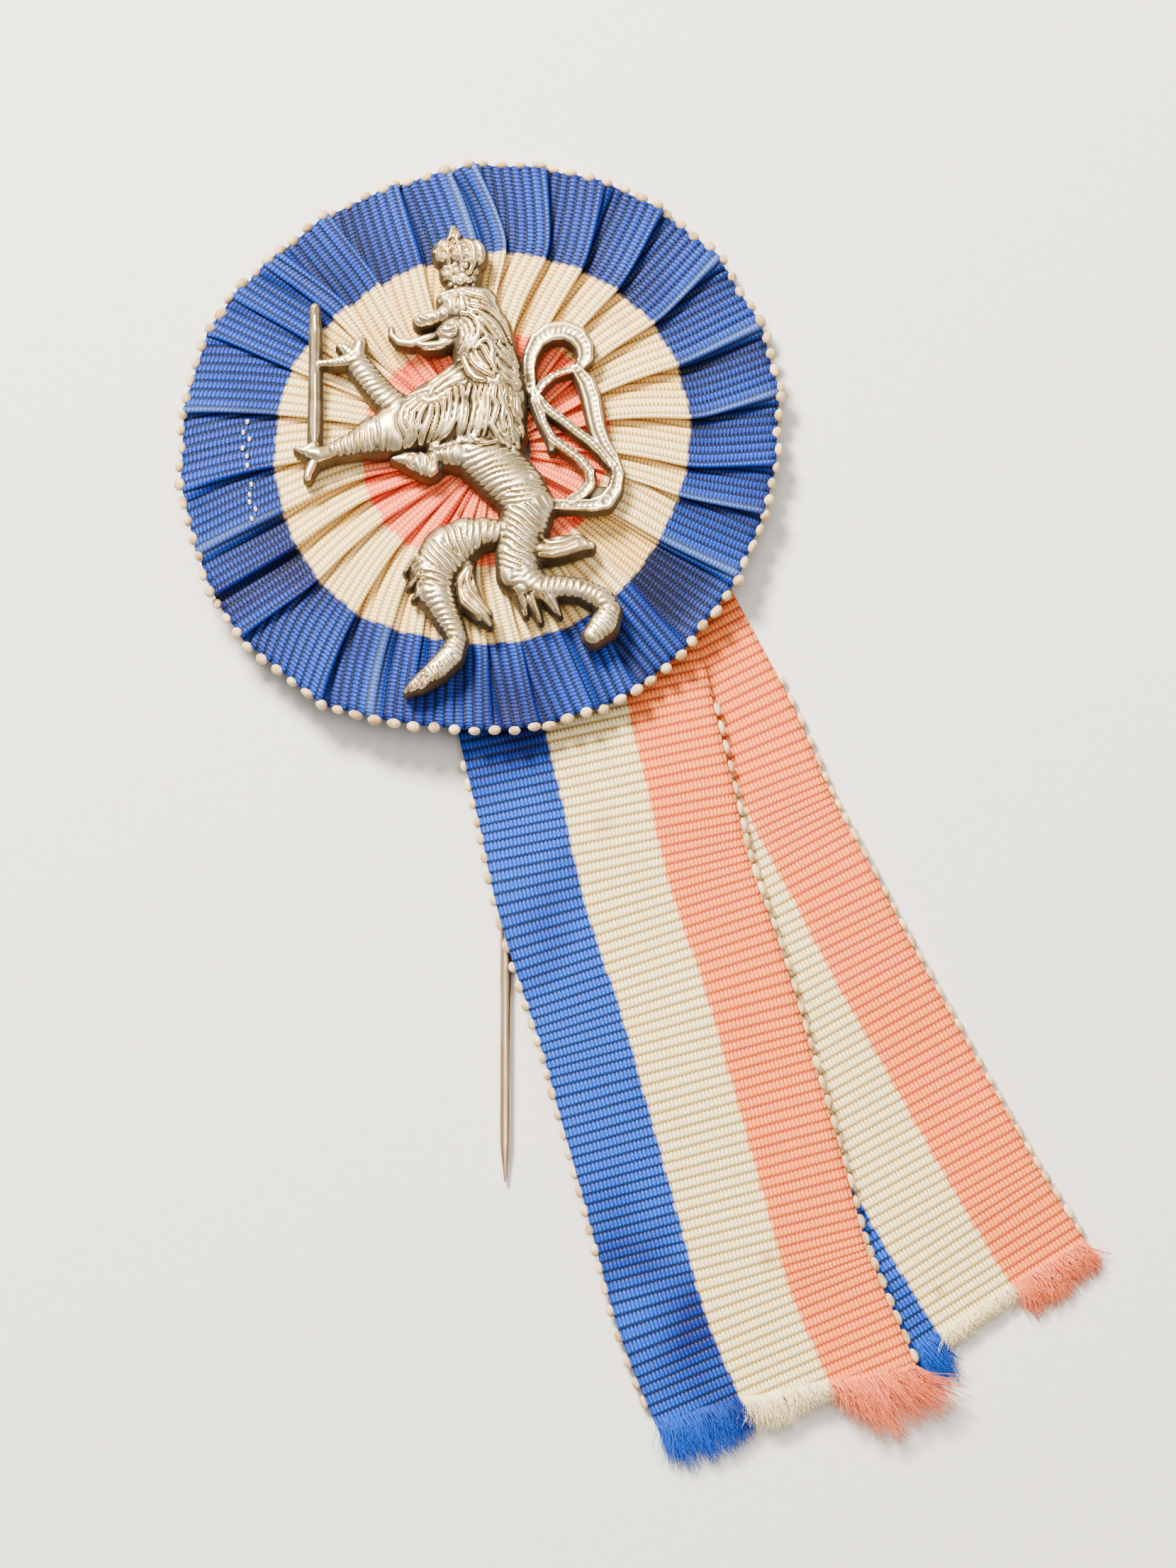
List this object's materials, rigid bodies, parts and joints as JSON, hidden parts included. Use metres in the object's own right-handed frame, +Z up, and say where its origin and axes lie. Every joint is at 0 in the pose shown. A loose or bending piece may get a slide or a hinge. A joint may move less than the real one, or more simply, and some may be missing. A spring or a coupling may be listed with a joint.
{
  "type": "lapel rosette",
  "caption": "Gathered ribbon rosette with ribbon tails, a cast heraldic lion on its face and a stick pin behind.",
  "frame": {"origin": "centre of the footprint on the surface that the rosette lies on", "axes": "+Y from the tail ends to the crown, +X to the right as seen from the front, +Z up out of the rosette's face"},
  "size_m": [0.0902, 0.131, 0.0074],
  "materials": {
    "rosette_ribbon": "ribbed silk ribbon, striped blue, cream and coral",
    "front_ribbon": "ribbed silk ribbon, striped blue, cream and coral",
    "back_ribbon": "ribbed silk ribbon, striped blue, cream and coral",
    "white_metal": "cast white metal, aged, dark in its hollows",
    "pin_steel": "drawn steel wire, a little worn"
  },
  "bodies": {
    "root": {"rosette_ruffle": "rosette_ribbon", "tail_front": "front_ribbon", "tail_back": "back_ribbon", "lion_emblem": "white_metal", "lapel_pin": "pin_steel"}
  },
  "joints": []
}
